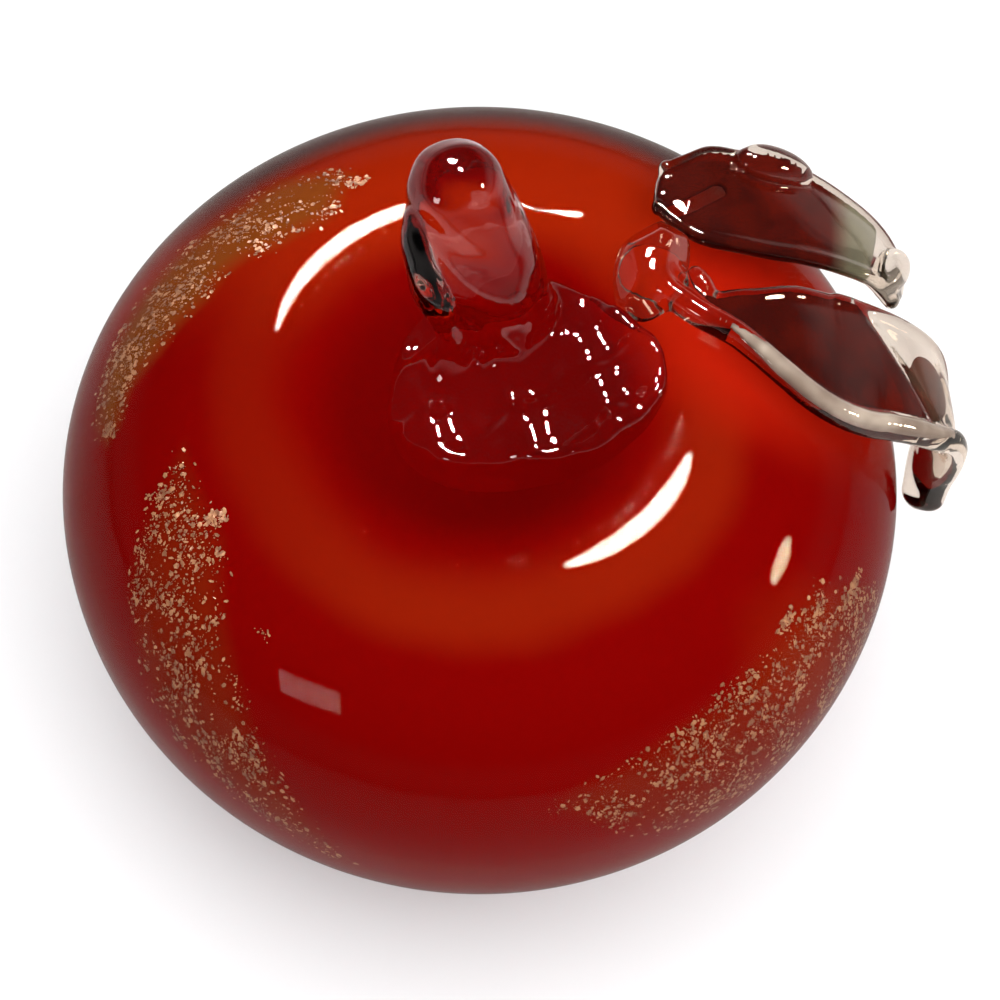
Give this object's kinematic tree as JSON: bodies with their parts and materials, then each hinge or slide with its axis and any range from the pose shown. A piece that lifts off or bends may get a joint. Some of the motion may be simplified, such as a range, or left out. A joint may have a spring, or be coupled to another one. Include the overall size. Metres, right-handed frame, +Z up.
{
  "type": "glass apple ornament",
  "caption": "Hand-blown cased glass apple: red under thick clear glass with gold leaf flecks, an applied clear stem and draped clear leaves, on a flat ground base.",
  "frame": {"origin": "centre of the flat ground base, on the surface that the apple stands on", "axes": "+Z up through the dimple; +X towards the leaves that hang over the side; +Y away from the picture's viewer"},
  "size_m": [0.1407, 0.13, 0.1041],
  "materials": {
    "clear_casing_glass": "polished hot glass",
    "red_glass": "deep ruby red overlay glass",
    "inner_clear_glass": "polished hot glass",
    "gold_leaf": "torn gold leaf, bright",
    "stem_glass": "polished hot glass",
    "leaf_glass": "clear glass over a smoky plum core"
  },
  "bodies": {
    "root": {"clear_casing": "clear_casing_glass", "red_layer": "red_glass", "first_gather": "inner_clear_glass", "gold_leaf_back_left": "gold_leaf", "gold_leaf_front_left": "gold_leaf", "gold_leaf_front_right": "gold_leaf", "stem": "stem_glass", "front_leaf": "leaf_glass", "back_leaf": "leaf_glass"}
  },
  "joints": []
}
